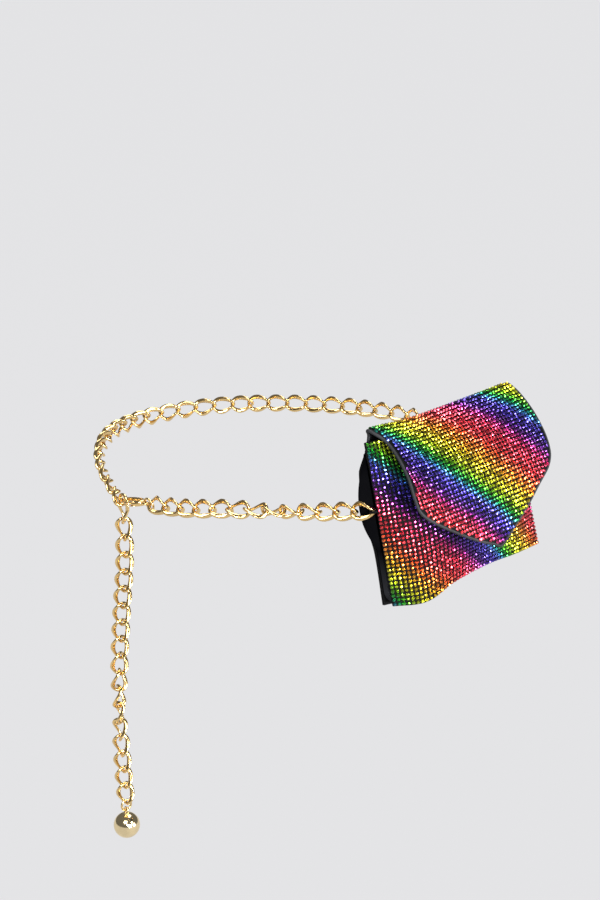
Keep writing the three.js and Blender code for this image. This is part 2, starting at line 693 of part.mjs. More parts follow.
const sphere = new THREE.SphereGeometry(BALL_RADIUS, BALL_AROUND, BALL_RINGS);
const ballBody = sphere.rotateX(Math.PI / 2).translate(0, 0, ballDown);
const ball = toSolid(ballBody).add(toSolid(eyeLoop));
addPiece(drop, 'ball_drop', toGeometry(ball), GOLD);

// Chain from the hook round the wearer's right side and back to the bag's right end
const sideReach = CLASP_MIDDLE + CLASP_HALF_LENGTH + SIDE_START_AHEAD;
const sideStart = new THREE.Vector3(sideReach, 0, 0).applyMatrix4(clasp.matrixWorld);
sideStart.z -= CLASP_THICK / 2 + 2 * GAP + WIRE;
const rightTangent = beltPoint(RIGHT_TANGENT);
const sideRoute = new THREE.CatmullRomCurve3(
  [sideStart, ...ROUND_ANGLES.map(beltPoint), rightTangent, tabCentres.right],
  false,
  'centripetal',
);
sideRoute.arcLengthDivisions = 2000;
for (let i = 0; i < SIDE_LINKS; i += 1) {
  const distance = LINK_HALF_LENGTH + i * LINK_PITCH;
  const roll = SIDE_ROLL * Math.max(1 - i / SIDE_ROLL_LINKS, 0);
  addLink(numbered('side_link', i), routeMatrix(sideRoute, distance, roll));
}

// Hidden stretches: links drawn tight, so that each stretch is one solid
const backStart = LINK_HALF_LENGTH + SIDE_LINKS * LINK_PITCH;
const backLength = sideRoute.getLength() - LINK_HALF_LENGTH - backStart;
const tightSteps = BACK_STRETCHES * (BACK_STRETCH_LINKS - 1);
const tightPitch = (backLength - (BACK_STRETCHES - 1) * LINK_PITCH) / tightSteps;
const stretchLength = (BACK_STRETCH_LINKS - 1) * tightPitch + LINK_PITCH;
for (let stretch = 0; stretch < BACK_STRETCHES; stretch += 1) {
  let joined = null;
  for (let i = 0; i < BACK_STRETCH_LINKS; i += 1) {
    const distance = backStart + stretch * stretchLength + i * tightPitch;
    const link = linkGeometry(LINK_HALF_LENGTH).applyMatrix4(routeMatrix(sideRoute, distance, 0));
    joined = joined ? joined.add(toSolid(link)) : toSolid(link);
  }
  addPiece(model, `back_chain_${stretch + 1}`, toGeometry(joined), GOLD);
}

export default model;
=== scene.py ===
# Rhinestone mini bag on a curb-chain belt: the visible pieces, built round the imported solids.
# Sizes are in millimetres and colours in steps of 0 to 255, and both are converted where they are used.
import json
import math

import bmesh
import bpy
import numpy as np
from mathutils import Matrix, Vector


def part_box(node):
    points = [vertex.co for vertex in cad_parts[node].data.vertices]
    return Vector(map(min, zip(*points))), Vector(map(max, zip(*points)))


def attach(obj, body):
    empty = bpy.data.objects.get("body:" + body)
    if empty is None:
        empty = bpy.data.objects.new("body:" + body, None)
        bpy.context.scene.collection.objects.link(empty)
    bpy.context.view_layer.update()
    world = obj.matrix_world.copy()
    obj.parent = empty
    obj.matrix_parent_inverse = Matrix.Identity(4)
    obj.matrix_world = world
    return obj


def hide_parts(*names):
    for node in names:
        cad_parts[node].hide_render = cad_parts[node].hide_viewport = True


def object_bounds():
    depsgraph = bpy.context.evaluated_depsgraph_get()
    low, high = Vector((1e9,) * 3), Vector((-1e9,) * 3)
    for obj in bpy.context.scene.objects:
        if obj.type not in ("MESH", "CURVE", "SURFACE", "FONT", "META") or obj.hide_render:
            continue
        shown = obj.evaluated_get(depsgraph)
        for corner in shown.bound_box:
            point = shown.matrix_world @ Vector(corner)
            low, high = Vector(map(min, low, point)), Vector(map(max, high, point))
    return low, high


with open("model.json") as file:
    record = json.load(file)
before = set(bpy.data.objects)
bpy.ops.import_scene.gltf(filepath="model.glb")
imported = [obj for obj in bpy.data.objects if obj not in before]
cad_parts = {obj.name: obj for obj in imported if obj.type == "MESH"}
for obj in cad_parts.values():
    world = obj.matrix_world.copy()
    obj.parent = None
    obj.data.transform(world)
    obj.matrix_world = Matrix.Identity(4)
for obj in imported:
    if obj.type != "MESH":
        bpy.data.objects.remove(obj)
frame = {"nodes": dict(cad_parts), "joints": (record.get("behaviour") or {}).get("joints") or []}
solid_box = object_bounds()

# Front wall of the pocket: a sheet of black imitation leather that swells out over the pocket.
# It is cut to the front's outline, its edge is turned under, and the paved sheet is glued on it.
MILLIMETRE = 0.001
BAG_WIDTH = 104
BAG_HEIGHT = 86
BAG_PLACE = (19, -113, 11)
BAG_ROLL = math.radians(4.3)
BAG_LEAN = math.radians(10.3)
FRONT_ACROSS = (0, 0.1, 0.25, 0.5, 0.8, 1)
FRONT_UP = (0, 0.4, 0.75, 1)
FRONT_SWELL = (
    # one row for each height from the foot up, one column for each place across
    (0, 6, 11, 9, 5, 0),
    (0, 7, 14, 17, 10, 0),
    (0, 4.5, 10, 12, 8, 0),
    (0, 1, 2, 2, 1.5, 0),
)
FOOT_ACROSS = (0, 0.15, 0.3, 0.45, 0.62, 0.8, 1)
FOOT_RISE = (-0.5, -2.2, 2.5, 3.7, 3.7, 2, 0.4)
FOOT_REACH = 3.4
FOLD_ACROSS = (0, 0.12, 0.3, 0.8, 1)
FOLD_SAG = (0, 0.6, 2.3, 1.9, 1.3)
FOLD_SAG_FADE = 4
FRONT_GRID = (90, 72)
LEATHER_WALL = 1.5
LEATHER_ROUNDING = 0.5
ROUNDING_STEPS = 3
ROUNDED_ANGLE = math.radians(50)
PEBBLE_SCALE = 1300
PEBBLE_DEPTH = 0.12
PEBBLE_STRENGTH = 0.35
LEATHER_DRIFT_SCALE = 90
LEATHER_DRIFT_DETAIL = 4
LEATHER_DRIFT_ENDS = (0.3, 0.75)
LEATHER_GLOSS_SPREAD = (-0.08, 0.1)

bag_to_frame = (
    Matrix.Scale(MILLIMETRE, 4)
    @ Matrix.Translation(BAG_PLACE)
    @ Matrix.Rotation(-BAG_ROLL, 4, "Y")
    @ Matrix.Rotation(-BAG_LEAN, 4, "X")
)


def moved(matrix, points):
    """Points under a matrix, as an array of rows."""
    table = np.array(matrix)
    return np.asarray(points, float) @ table[:3, :3].T + table[:3, 3]


def eased(places, values, x):
    """Smooth values at x through a table, which may have one column for each x."""
    places = np.asarray(places, float)
    values = np.asarray(values, float)
    if values.ndim == 1:
        values = np.repeat(values[:, None], len(x), 1)
    rows = np.arange(len(places))
    before = np.maximum(rows - 1, 0)
    after = np.minimum(rows + 1, len(places) - 1)
    slopes = (values[after] - values[before]) / (places[after] - places[before])[:, None]
    i = np.clip(np.searchsorted(places, x) - 1, 0, len(places) - 2)
    k = np.arange(len(x))
    span = places[i + 1] - places[i]
    t = np.clip((x - places[i]) / span, 0, 1)
    start = (2 * t**3 - 3 * t**2 + 1) * values[i, k] + (t**3 - 2 * t**2 + t) * span * slopes[i, k]
    end = (3 * t**2 - 2 * t**3) * values[i + 1, k] + (t**3 - t**2) * span * slopes[i + 1, k]
    return start + end


def front_swell(across, up):
    """How far the front stands out, by shares of its width and height."""
    sections = np.array([eased(FRONT_ACROSS, row, across) for row in FRONT_SWELL])
    return eased(FRONT_UP, sections, up)


def below_middle(height):
    """Share of the bag's height below its middle, and none above it."""
    return np.maximum(0.5 - height / BAG_HEIGHT, 0)


def foot_rise(x, height):
    """Rise of the foot's edge from a straight line, fading towards the middle."""
    return eased(FOOT_ACROSS, FOOT_RISE, x / BAG_WIDTH + 0.5) * below_middle(height) ** 2


def foot_reach(x, height):
    """Reach of the foot's right corner, fading towards the middle."""
    return FOOT_REACH * (np.maximum(2 * x / BAG_WIDTH, 0) * below_middle(height)) ** 2


def fold_sag(x, height):
    """Sag of the fold from a straight line, fading towards the foot."""
    share = np.clip(height / BAG_HEIGHT + 0.5, 0, 1)
    return eased(FOLD_ACROSS, FOLD_SAG, x / BAG_WIDTH + 0.5) * share**FOLD_SAG_FADE


def front_face(across, up):
    """Points of the front's outer face, in the bag's own axes."""
    x = (across - 0.5) * BAG_WIDTH
    height = (up - 0.5) * BAG_HEIGHT
    rise = foot_rise(x, height) - fold_sag(x, height)
    return np.stack([x + foot_reach(x, height), -front_swell(across, up), height + rise], 1)


def finished_mesh(name, shape):
    """Mesh from a bmesh, which is freed."""
    mesh = bpy.data.meshes.new(name)
    shape.to_mesh(mesh)
    shape.free()
    return mesh


def shade_smooth(mesh):
    """Smooth shading on every face."""
    mesh.polygons.foreach_set("use_smooth", [True] * len(mesh.polygons))


def leather_grid(name, face, columns, rows, outward):
    """Grid bent onto a face of the bag, with its normals to the outside."""
    grid = bmesh.new()
    bmesh.ops.create_grid(grid, x_segments=columns, y_segments=rows, size=0.5)
    shares = np.array([v.co for v in grid.verts]) + 0.5
    for vert, point in zip(grid.verts, moved(bag_to_frame, face(shares[:, 0], shares[:, 1]))):
        vert.co = point
    if not outward:
        bmesh.ops.reverse_faces(grid, faces=grid.faces)
    return finished_mesh(name, grid)


def set_piece(name, mesh, material, body="bag_and_belt"):
    """Piece from a mesh, with its finish, riding on a body."""
    mesh.materials.clear()
    mesh.materials.append(material)
    piece = bpy.data.objects.new(name, mesh)
    bpy.context.scene.collection.objects.link(piece)
    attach(piece, body)
    return piece


def give_wall(piece, thickness, rounding):
    """Inward thickness with rounded edges, shaded smooth."""
    shade_smooth(piece.data)
    wall = piece.modifiers.new("wall", "SOLIDIFY")
    wall.thickness = thickness * MILLIMETRE
    wall.offset = -1
    wall.use_even_offset = True
    edge = piece.modifiers.new("edge", "BEVEL")
    edge.width = rounding * MILLIMETRE
    edge.segments = ROUNDING_STEPS
    edge.limit_method = "ANGLE"
    edge.angle_limit = ROUNDED_ANGLE


def tint(red, green, blue):
    """Colour from steps of 0 to 255, as the shader's light values."""
    steps = np.array([red, green, blue]) / 255
    light = np.where(steps <= 0.04045, steps / 12.92, ((steps + 0.055) / 1.055) ** 2.4)
    return (*light, 1)


def shader_tree(name):
    """New material with its nodes, its links and its surface shader."""
    material = bpy.data.materials.new(name)
    material.use_nodes = True
    nodes = material.node_tree.nodes
    return material, nodes, material.node_tree.links, nodes["Principled BSDF"]


def black_leather(name, dark, light, roughness, shine):
    """Grained black sheet: small pebbled cells, with a slow drift of tone and gloss."""
    material, nodes, links, surface = shader_tree(name)
    place = nodes.new("ShaderNodeTexCoord")
    pebbles = nodes.new("ShaderNodeTexVoronoi")
    pebbles.inputs["Scale"].default_value = PEBBLE_SCALE
    drift = nodes.new("ShaderNodeTexNoise")
    drift.inputs["Scale"].default_value = LEATHER_DRIFT_SCALE
    drift.inputs["Detail"].default_value = LEATHER_DRIFT_DETAIL
    tone = nodes.new("ShaderNodeValToRGB")
    for stop, share, colour in zip(tone.color_ramp.elements, LEATHER_DRIFT_ENDS, (dark, light)):
        stop.position = share
        stop.color = tint(*colour)
    gloss = nodes.new("ShaderNodeMapRange")
    gloss.inputs["To Min"].default_value = roughness + LEATHER_GLOSS_SPREAD[0]
    gloss.inputs["To Max"].default_value = roughness + LEATHER_GLOSS_SPREAD[1]
    grain = nodes.new("ShaderNodeBump")
    grain.inputs["Strength"].default_value = PEBBLE_STRENGTH
    grain.inputs["Distance"].default_value = PEBBLE_DEPTH * MILLIMETRE
    links.new(place.outputs["Object"], pebbles.inputs["Vector"])
    links.new(place.outputs["Object"], drift.inputs["Vector"])
    links.new(drift.outputs["Fac"], tone.inputs["Fac"])
    links.new(drift.outputs["Fac"], gloss.inputs["Value"])
    links.new(pebbles.outputs["Distance"], grain.inputs["Height"])
    links.new(tone.outputs["Color"], surface.inputs["Base Color"])
    links.new(gloss.outputs["Result"], surface.inputs["Roughness"])
    links.new(grain.outputs["Normal"], surface.inputs["Normal"])
    surface.inputs["Specular IOR Level"].default_value = shine
    return material


outer_leather = black_leather(
    "outer_leather", dark=(2, 2, 3), light=(8, 8, 10), roughness=0.6, shine=0.08
)
front_wall = set_piece(
    "front_wall",
    leather_grid("front_wall", front_face, *FRONT_GRID, outward=True),
    outer_leather,
)
give_wall(front_wall, LEATHER_WALL, LEATHER_ROUNDING)
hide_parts("front_panel")

# Stones on the front: small round faceted stones with coloured foil behind them.
# They are set edge to edge in straight rows on a black bed.
# The colours run across the rows in slanting rainbow stripes.
STONE_RADIUS = 1.0
STONE_HEIGHT = 0.85
STONE_SIDES = 8
STONE_BACK = 0.88
STONE_RINGS = (
    # rise above the ring before as a share of the height, size against that ring, and turn
    (0.3, 1.136, 0),
    (0.7, 0.46, math.pi / STONE_SIDES),
)
STONE_LIFT = 0.12
STONE_TILT = 0.13
STONE_DEPTHS = (0.58, 1.36)
STONE_SATURATION = 0.97
FRONT_COLUMNS = 46
FRONT_ROWS = 39
FRONT_SEED = 11
PAVED_MARGIN = 1.2
ROW_STEPS = 401
FRONT_STRIPE_ROWS = 35.4
FRONT_STRIPE_COLUMNS = 31.4
FRONT_STRIPE_START = 0.08
RAINBOW = (
    # share of one repeat down a column, and the colour there
    (0.0, (168, 184, 18)),
    (0.06, (88, 164, 22)),
    (0.1, (16, 140, 38)),
    (0.14, (18, 132, 104)),
    (0.175, (70, 128, 196)),
    (0.22, (82, 70, 184)),
    (0.3, (62, 40, 136)),
    (0.38, (106, 40, 134)),
    (0.44, (186, 46, 122)),
    (0.49, (208, 52, 94)),
    (0.55, (213, 56, 80)),
    (0.64, (215, 60, 70)),
    (0.71, (218, 88, 40)),
    (0.78, (224, 132, 26)),
    (0.86, (210, 168, 20)),
    (0.93, (198, 188, 18)),
)


def corners_and_faces(shape):
    """Corners and faces of a bmesh, to be repeated. The bmesh is freed."""
    shape.verts.index_update()
    corners = np.array([v.co for v in shape.verts])
    faces = [[v.index for v in face.verts] for face in shape.faces]
    shape.free()
    return corners, faces


def repeated_mesh(name, corners, faces):
    """One mesh of a shape's faces at each set of its corners, in metres."""
    count, size, _ = corners.shape
    all_faces = [[i * size + k for k in face] for i in range(count) for face in faces]
    mesh = bpy.data.meshes.new(name)
    mesh.from_pydata(corners.reshape(-1, 3).tolist(), [], all_faces)
    return mesh


def cut_stone():
    """Corners and faces of one stone: a girdle, a ring of slanting facets and a flat table."""
    stone = bmesh.new()
    bmesh.ops.create_circle(stone, cap_ends=True, segments=STONE_SIDES, radius=STONE_BACK * STONE_RADIUS)
    for ring, (rise, size, turn) in enumerate(STONE_RINGS):
        top = max(stone.faces, key=lambda face: face.calc_center_median().z + face.normal.z)
        raised = bmesh.ops.extrude_face_region(stone, geom=[top])
        corners = [part for part in raised["geom"] if isinstance(part, bmesh.types.BMVert)]
        if ring > 0:
            bmesh.ops.delete(stone, geom=[top], context="FACES_ONLY")
        bmesh.ops.translate(stone, verts=corners, vec=(0, 0, rise * STONE_HEIGHT))
        bmesh.ops.scale(stone, verts=corners, vec=(size, size, 1))
        bmesh.ops.rotate(stone, verts=corners, matrix=Matrix.Rotation(turn, 3, "Z"))
    bmesh.ops.recalc_face_normals(stone, faces=stone.faces)
    return corners_and_faces(stone)


stone_corners, stone_faces = cut_stone()


def unit(rows):
    """Rows scaled to a length of one."""
    return rows / np.linalg.norm(rows, axis=1, keepdims=True)


def pave(name, seats, square, along, stripe, seed):
    """One mesh of stones on their seats, each leaning a little, with its place in the rainbow kept."""
    draw = np.random.default_rng(seed)
    lean = unit(square + draw.normal(0, STONE_TILT, square.shape))
    side = unit(along - (along * lean).sum(1, keepdims=True) * lean)
    third = np.cross(lean, side)
    corners = seats[:, None] + (
        stone_corners[None, :, :1] * side[:, None]
        + stone_corners[None, :, 1:2] * third[:, None]
        + (stone_corners[None, :, 2:] + STONE_LIFT) * lean[:, None]
    )
    mesh = repeated_mesh(name, moved(bag_to_frame, corners), stone_faces)
    for label, values in (("stripe", stripe % 1), ("spark", draw.uniform(0, 1, len(seats)))):
        layer = mesh.attributes.new(label, "FLOAT", "POINT")
        layer.data.foreach_set("value", np.repeat(values, len(stone_corners)))
    return mesh


def rainbow_stones():
    """Foil-backed stone, coloured by its place in the stripes and lighter or deeper stone by stone."""
    material, nodes, links, surface = shader_tree("rainbow_stones")
    stripe = nodes.new("ShaderNodeAttribute")
    stripe.attribute_name = "stripe"
    spark = nodes.new("ShaderNodeAttribute")
    spark.attribute_name = "spark"
    ramp = nodes.new("ShaderNodeValToRGB")
    while len(ramp.color_ramp.elements) > 1:
        ramp.color_ramp.elements.remove(ramp.color_ramp.elements[-1])
    ramp.color_ramp.elements[0].position = 0
    ramp.color_ramp.elements[0].color = tint(*RAINBOW[0][1])
    for share, colour in (*RAINBOW[1:], (1, RAINBOW[0][1])):
        ramp.color_ramp.elements.new(share).color = tint(*colour)
    depth = nodes.new("ShaderNodeMapRange")
    depth.inputs["To Min"].default_value = STONE_DEPTHS[0]
    depth.inputs["To Max"].default_value = STONE_DEPTHS[1]
    shade = nodes.new("ShaderNodeHueSaturation")
    shade.inputs["Saturation"].default_value = STONE_SATURATION
    links.new(stripe.outputs["Fac"], ramp.inputs["Fac"])
    links.new(spark.outputs["Fac"], depth.inputs["Value"])
    links.new(ramp.outputs["Color"], shade.inputs["Color"])
    links.new(depth.outputs["Result"], shade.inputs["Value"])
    links.new(shade.outputs["Color"], surface.inputs["Base Color"])
    surface.inputs["Metallic"].default_value = 0.9
    surface.inputs["Roughness"].default_value = 0.16
    surface.inputs["Coat Weight"].default_value = 0.35
    surface.inputs["Coat Roughness"].default_value = 0.03
    return material


def square_to(face, a, b):
    """Unit vectors along a face's first direction and square to it, by small steps."""
    step = 1e-3
    first = face(a + step, b) - face(a - step, b)
    second = face(a, b + step) - face(a, b - step)
    return unit(first), unit(np.cross(first, second))


def run_along(points):
    """Distance of each point along the line that they make."""
    return np.concatenate([[0], np.cumsum(np.linalg.norm(np.diff(points, axis=0), axis=1))])


def even_shares(points, count):
    """Shares along a line of points that space a count of stones evenly between its margins."""
    run = run_along(points)
    wanted = np.linspace(PAVED_MARGIN, run[-1] - PAVED_MARGIN, count)
    return np.interp(wanted, run, np.linspace(0, 1, len(points)))


def row_shares(up):
    """Places of one row's stones across the front."""
    return even_shares(front_face(fine, np.full_like(fine, up)), FRONT_COLUMNS)


fine = np.linspace(0, 1, ROW_STEPS)
front_heights = even_shares(front_face(np.full_like(fine, 0.5), fine), FRONT_ROWS)[::-1]
front_across = np.concatenate([row_shares(up) for up in front_heights])
front_up = np.repeat(front_heights, FRONT_COLUMNS)
front_row, front_column = np.divmod(np.arange(FRONT_ROWS * FRONT_COLUMNS), FRONT_COLUMNS)
front_along, front_square = square_to(front_face, front_across, front_up)
stone_finish = rainbow_stones()
front_paving = set_piece(
    "front_paving",
    pave(
        "front_paving",
        front_face(front_across, front_up),
        front_square,
        front_along,
        front_row / FRONT_STRIPE_ROWS - front_column / FRONT_STRIPE_COLUMNS + FRONT_STRIPE_START,
        FRONT_SEED,
    ),
    stone_finish,
)
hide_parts("front_stones")

# Back wall and flap: one sheet of black imitation leather, cut to a soft point at the flap's end.
# It goes up the back, over the top and down in front, and its foot is sewn to the gusset.
SHEET_PROFILE = (
    # side view from the foot of the back to the flap's tip: out from the front's edges, and up
    (-8, -43), (-11, -15), (-10.5, 12), (-7.5, 36), (-6, 45), (-2, 49), (3, 46.2),
    (9, 40), (15.5, 31.5), (21.5, 21.5), (26, 10.5), (30.4, -6), (33.3, -24),
)
SHEET_EDGES = (
    # distance along the sheet from the crest of the fold, and its reach there to left and right
    (-24, 52, 52), (-14, 48.5, 51.8), (-6, 45.5, 51.6), (0, 47.5, 52.4), (12, 43.5, 53.2),
    (30, 44, 52.5), (46, 46.5, 50), (53, 45.5, 45.3), (60, 38.8, 35), (70, 25, 20.5),
    (77, 13.5, 9), (81, 5, 2.2), (82.6, 3, -1),
)
BACK_END_UP = (-43, -15, 2, 28, 40, 49)
BACK_END_FORWARD = (0, 3.5, 0, 0, 2.5, 0)
BACK_END_FADE = 3
FLAP_END = 82.6
SHEET_GRID = (48, 150)


def smooth_line(points, steps=60):
    """Fine line of points along a smooth curve through a few."""
    points = np.asarray(points, float)
    ends = np.concatenate([[2 * points[0] - points[1]], points, [2 * points[-1] - points[-2]]])
    t = np.linspace(0, 1, steps, endpoint=False)[:, None]
    line = []
    for p0, p1, p2, p3 in zip(ends, ends[1:], ends[2:], ends[3:]):
        d0, d1, d2 = (np.linalg.norm(b - a) ** 0.5 for a, b in ((p0, p1), (p1, p2), (p2, p3)))
        m1 = ((p1 - p0) / d0 - (p2 - p0) / (d0 + d1) + (p2 - p1) / d1) * d1
        m2 = ((p2 - p1) / d1 - (p3 - p1) / (d1 + d2) + (p3 - p2) / d2) * d1
        bend = 3 * (p2 - p1) - 2 * m1 - m2
        line.append(p1 + m1 * t + bend * t**2 + (2 * (p1 - p2) + m1 + m2) * t**3)
    return np.concatenate([*line, points[-1:]])


sheet_line = smooth_line(SHEET_PROFILE)
sheet_run = run_along(sheet_line)
sheet_run -= sheet_run[np.argmax(sheet_line[:, 1])]


def sheet_edges(run):
    """Places of the sheet's left and right edges, by distance from the crest."""
    places, left, right = np.transpose(SHEET_EDGES)
    return -eased(places, left, run), eased(places, right, run)


def end_forward(x, height):
    """How far the back wall comes forward towards its left end."""
    towards_end = np.maximum(-2 * x / BAG_WIDTH, 0)
    return eased(BACK_END_UP, BACK_END_FORWARD, height) * towards_end**BACK_END_FADE


def sheet_place(x, run):
    """Points of the sheet's outer face, by place across and distance from the crest."""
    out = np.interp(run, sheet_run, sheet_line[:, 0])
    height = np.interp(run, sheet_run, sheet_line[:, 1])
    on_back = run < 0
    forward = np.where(on_back, end_forward(x, height), 0)
    rise = np.where(on_back, foot_rise(x, height), 0)
    reach = np.where(on_back, foot_reach(x, height), 0)
    return np.stack([x + reach, -out - forward, height + rise - fold_sag(x, height)], 1)


def sheet_face(across, along):
    """Points of the sheet by shares of its width and length."""
    run = sheet_run[0] + along * (FLAP_END - sheet_run[0])
    left, right = sheet_edges(run)
    return sheet_place(left + (right - left) * across, run)


back_and_flap = set_piece(
    "back_and_flap_sheet",
    leather_grid("back_and_flap_sheet", sheet_face, *SHEET_GRID, outward=False),
    outer_leather,
)
give_wall(back_and_flap, LEATHER_WALL, LEATHER_ROUNDING)
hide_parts("back_and_flap")

# Flap edge: a narrow strip of greyer leather, turned over the flap's cut edge and glued down.
# It runs from behind the fold on one side, round the flap's point, to behind the fold on the other.
EDGE_RADIUS = 0.85
EDGE_START = -14
EDGE_STEPS = 160
EDGE_INSET = 0.2


def tube(name, points, radius, closed=False, radii=None, round_steps=4):
    """Mesh of a round tube along a line of points."""
    path = bpy.data.curves.new(name, "CURVE")
    path.dimensions = "3D"
    path.bevel_depth = radius
    path.bevel_resolution = round_steps
    path.use_fill_caps = True
    spline = path.splines.new("POLY")
    spline.points.add(len(points) - 1)
    spline.points.foreach_set("co", np.column_stack([points, np.ones(len(points))]).ravel())
    if radii is not None:
        spline.points.foreach_set("radius", radii)
    spline.use_cyclic_u = closed
    holder = bpy.data.objects.new(name, path)
    bpy.context.scene.collection.objects.link(holder)
    mesh = bpy.data.meshes.new_from_object(holder)
    bpy.data.objects.remove(holder)
    bpy.data.curves.remove(path)
    shade_smooth(mesh)
    return mesh


edge_leather = black_leather(
    "edge_leather", dark=(24, 25, 28), light=(46, 47, 50), roughness=0.55, shine=0.2
)
edge_down = np.linspace(EDGE_START, FLAP_END, EDGE_STEPS)
left_edge, right_edge = sheet_edges(edge_down)
edge_x = np.concatenate([left_edge + EDGE_INSET, right_edge[::-1] - EDGE_INSET])
edge_run = np.concatenate([edge_down, edge_down[::-1]])
edge_under = square_to(sheet_place, edge_x, edge_run)[1]
edge_points = sheet_place(edge_x, edge_run) + edge_under * LEATHER_WALL / 2
set_piece(
    "flap_edge",
    tube("flap_edge", moved(bag_to_frame, edge_points), EDGE_RADIUS * MILLIMETRE),
    edge_leather,
)

# Stones on the flap: the same paved sheet, from just behind the fold down to the turned edge.
# Its stripes start again at the fold, so they don't run on from those of the front.
FLAP_COLUMNS = 48
FLAP_COLUMN_PITCH = 2.13
FLAP_ROW_PITCH = 2.33
FLAP_FIRST_ROW = -6
FLAP_FIRST_COLUMN = -46.8
FLAP_EDGE_MARGIN = 1.2
FLAP_SEED = 12
FLAP_STRIPES = (
    # distance along the sheet from the crest, and the repeats counted there at its left and at its right
    (-6, 0.04, -1.24), (0, 0.13, -1.16), (14, 0.3, -0.99), (31, 0.45, -0.85), (51, 0.66, -0.67),
    (66, 0.91, -0.55), (81, 1.18, -0.49),
)
FLAP_STRIPE_SIDES = (-47, 54)

flap_rows = np.arange(FLAP_FIRST_ROW, FLAP_END - FLAP_EDGE_MARGIN, FLAP_ROW_PITCH)
flap_columns = FLAP_FIRST_COLUMN + np.arange(FLAP_COLUMNS) * FLAP_COLUMN_PITCH
flap_run = np.repeat(flap_rows, FLAP_COLUMNS)
flap_x = np.tile(flap_columns, len(flap_rows))
low_edge, high_edge = sheet_edges(flap_run)
inside = (flap_x > low_edge + FLAP_EDGE_MARGIN) & (flap_x < high_edge - FLAP_EDGE_MARGIN)
flap_run, flap_x = flap_run[inside], flap_x[inside]
flap_along, flap_under = square_to(sheet_place, flap_x, flap_run)
stripe_at, stripe_left, stripe_right = np.transpose(FLAP_STRIPES)
stripe_share = (flap_x - FLAP_STRIPE_SIDES[0]) / (FLAP_STRIPE_SIDES[1] - FLAP_STRIPE_SIDES[0])
flap_stripe = (
    eased(stripe_at, stripe_left, flap_run) * (1 - stripe_share)
    + eased(stripe_at, stripe_right, flap_run) * stripe_share
)
flap_paving = set_piece(
    "flap_paving",
    pave("flap_paving", sheet_place(flap_x, flap_run), -flap_under, flap_along, flap_stripe, FLAP_SEED),
    stone_finish,
)
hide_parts("flap_stones")

# Gusset: a strip of thin black imitation leather round the pocket's sides and foot.
# It is sewn between front and back. Its colour holds painted shade and painted light: a darker black
# than the bag's other leather, as painted shade, and paler towards the foot, as painted light where the
# lamps fall on it.
# Where the chains pull at the two ends of the bag it is drawn out into a fold.
GUSSET_INSET = 0.5
GUSSET_CORNER = 7
GUSSET_CORNER_STEPS = 40
GUSSET_WALL = 1.2
GUSSET_ROUNDING = 0.3
GUSSET_FOLD = 6.8
GUSSET_FOLD_HEIGHT = 9
GUSSET_FOLD_SPREAD = 24
GUSSET_RIDGE = 1 / 3
GUSSET_RIDGE_DULL = 0.12
GUSSET_RIDGE_POWER = 6
GUSSET_TOP = 37
GUSSET_GAP = 0.6
GUSSET_FRONT_DEPTH = 1.95
GUSSET_GRID = (24, 200)
# Painted light: the heights in millimetres over which the gusset's colour turns paler towards the foot,
# and that paler tone.
GUSSET_PAINTED_LIGHT_HEIGHTS = (-34, -8)
GUSSET_PAINTED_LIGHT_TONE = (44, 45, 49)

gusset_side = BAG_WIDTH / 2 - GUSSET_INSET
gusset_foot = -BAG_HEIGHT / 2 + GUSSET_INSET
quarter = np.radians(np.linspace(0, 90, GUSSET_CORNER_STEPS))
left_bend = np.stack(
    [
        GUSSET_CORNER - gusset_side - GUSSET_CORNER * np.cos(quarter),
        gusset_foot + GUSSET_CORNER - GUSSET_CORNER * np.sin(quarter),
    ],
    1,
)
half_u = np.concatenate([[(-gusset_side, GUSSET_TOP)], left_bend])
gusset_line = np.concatenate([half_u, half_u[::-1] * (-1, 1)])
gusset_run = run_along(gusset_line)
gusset_run /= gusset_run[-1]
back_part = sheet_run <= 0


def gusset_face(across, along):
    """Points of the gusset's outer face, by shares from back to front and from end to end."""
    x = np.interp(along, gusset_run, gusset_line[:, 0])
    z = np.interp(along, gusset_run, gusset_line[:, 1])
    back = np.interp(z, sheet_line[back_part, 1], sheet_line[back_part, 0]) + end_forward(x, z)
    back += LEATHER_WALL + GUSSET_GAP
    front = front_swell(x / BAG_WIDTH + 0.5, z / BAG_HEIGHT + 0.5) - GUSSET_FRONT_DEPTH - GUSSET_GAP
    rise = (z - GUSSET_FOLD_HEIGHT) / GUSSET_FOLD_SPREAD
    drawn = GUSSET_FOLD * np.maximum(1 - rise**2, 0)
    ridge = np.where(x < 0, GUSSET_RIDGE, 1 - GUSSET_RIDGE)
    tent = np.minimum(across / ridge, (1 - across) / (1 - ridge))
    fold = drawn * (tent - GUSSET_RIDGE_DULL * tent**GUSSET_RIDGE_POWER)
    height = z + foot_rise(x, z) - fold_sag(x, z)
    drawn_x = x + foot_reach(x, z) + np.sign(x) * fold
    return np.stack([drawn_x, -(back + (front - back) * across), height], 1)


def paint_light_on_lower_part(material):
    """Painted light: a paler tone towards the foot, where light falls on the gusset, over the leather's
    own.
    """
    nodes, links = material.node_tree.nodes, material.node_tree.links
    surface = nodes["Principled BSDF"]
    place = nodes.new("ShaderNodeTexCoord")
    height = nodes.new("ShaderNodeSeparateXYZ")
    share = nodes.new("ShaderNodeMapRange")
    share.inputs["From Min"].default_value = GUSSET_PAINTED_LIGHT_HEIGHTS[1] * MILLIMETRE
    share.inputs["From Max"].default_value = GUSSET_PAINTED_LIGHT_HEIGHTS[0] * MILLIMETRE
    # Painted light: the leather's colour is mixed towards a paler grey lower down.
    tone = nodes.new("ShaderNodeMix")
    tone.data_type = "RGBA"
    tone.inputs["B"].default_value = tint(*GUSSET_PAINTED_LIGHT_TONE)
    links.new(surface.inputs["Base Color"].links[0].from_socket, tone.inputs["A"])
    links.new(place.outputs["Object"], height.inputs["Vector"])
    links.new(height.outputs["Z"], share.inputs["Value"])
    links.new(share.outputs["Result"], tone.inputs["Factor"])
    links.new(tone.outputs["Result"], surface.inputs["Base Color"])
